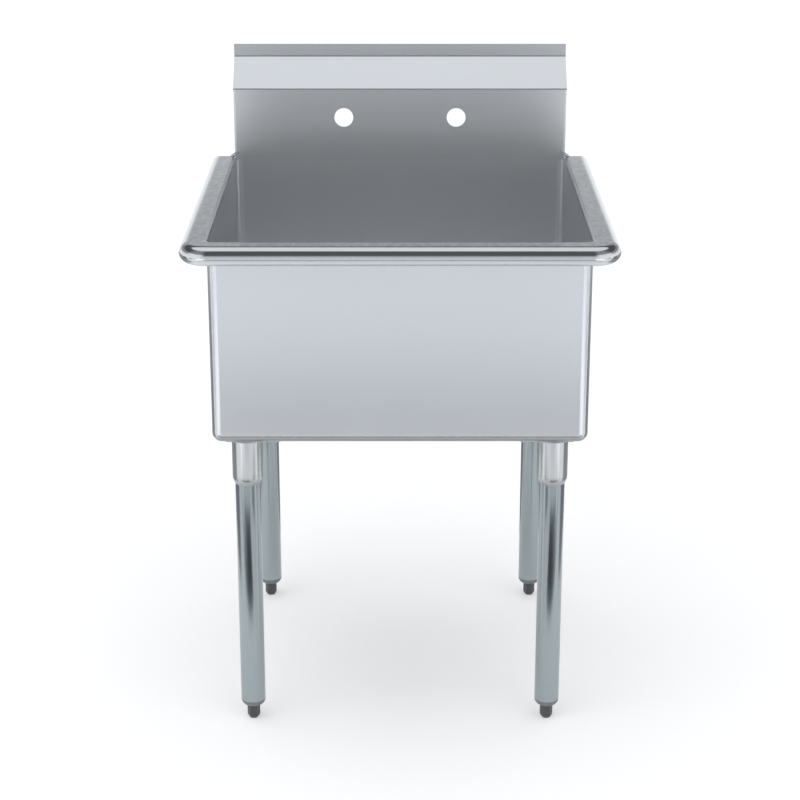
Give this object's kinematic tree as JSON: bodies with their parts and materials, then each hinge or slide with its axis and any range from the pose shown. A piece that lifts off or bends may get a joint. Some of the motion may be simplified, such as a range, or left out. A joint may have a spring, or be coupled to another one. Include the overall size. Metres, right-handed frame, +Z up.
{
  "type": "utility laundry sink",
  "caption": "Free-standing stainless utility sink: deep square bowl with rolled rim and sloped-top backsplash, on tubular legs with adjustable feet.",
  "frame": {"origin": "on the floor, under the middle of the overall box, with the feet screwed right in", "axes": "+Z up, -Y out of the front of the bowl, +Y to the wall, +X to the right as seen from the front"},
  "size_m": [0.686, 0.695, 1.0453],
  "materials": {
    "brushed_stainless": "brushed, fine straight grain",
    "polished_stainless": "polished",
    "mill_stainless": "mill finish, welded",
    "galvanized_steel": "galvanized, satin",
    "grey_plastic": "moulded, satin",
    "dark_plastic": "moulded, satin",
    "black_screws": "black oxide",
    "satin_drain": "satin",
    "black_rubber": "matt",
    "fibre_washer": "pressed fibre",
    "cast_nut": "die cast"
  },
  "bodies": {
    "sink": {"bowl": "brushed_stainless", "rolled_rim": "polished_stainless", "rim_end_cap_left": "brushed_stainless", "rim_end_cap_right": "brushed_stainless", "backsplash": "brushed_stainless", "splash_end_left": "brushed_stainless", "splash_end_right": "brushed_stainless", "leg_plate_front_left": "mill_stainless", "leg_socket_front_left": "polished_stainless", "leg_front_left": "galvanized_steel", "foot_insert_front_left": "grey_plastic", "leg_plate_front_right": "mill_stainless", "leg_socket_front_right": "polished_stainless", "leg_front_right": "galvanized_steel", "foot_insert_front_right": "grey_plastic", "leg_plate_back_left": "mill_stainless", "leg_socket_back_left": "polished_stainless", "leg_back_left": "galvanized_steel", "foot_insert_back_left": "grey_plastic", "leg_plate_back_right": "mill_stainless", "leg_socket_back_right": "polished_stainless", "leg_back_right": "galvanized_steel", "foot_insert_back_right": "grey_plastic", "socket_set_screws": "black_screws", "drain_body": "satin_drain", "drain_gasket": "black_rubber", "drain_washer": "fibre_washer", "drain_locknut": "cast_nut"},
    "foot_front_left": {"foot_front_left": "dark_plastic"},
    "foot_front_right": {"foot_front_right": "dark_plastic"},
    "foot_back_left": {"foot_back_left": "dark_plastic"},
    "foot_back_right": {"foot_back_right": "dark_plastic"},
    "basket": {"strainer_basket": "satin_drain", "basket_post": "satin_drain", "basket_stopper": "black_rubber"}
  },
  "joints": [
    {"name": "foot_front_left_screw", "type": "slide", "parent": "sink", "child": "foot_front_left", "axis": [0, 0, -1], "range_m": [0, 0.025]},
    {"name": "foot_front_right_screw", "type": "slide", "parent": "sink", "child": "foot_front_right", "axis": [0, 0, -1], "range_m": [0, 0.025]},
    {"name": "foot_back_left_screw", "type": "slide", "parent": "sink", "child": "foot_back_left", "axis": [0, 0, -1], "range_m": [0, 0.025]},
    {"name": "foot_back_right_screw", "type": "slide", "parent": "sink", "child": "foot_back_right", "axis": [0, 0, -1], "range_m": [0, 0.025]},
    {"name": "basket_lift", "type": "slide", "parent": "sink", "child": "basket", "axis": [0, 0, 1], "range_m": [0, 0.4]}
  ]
}
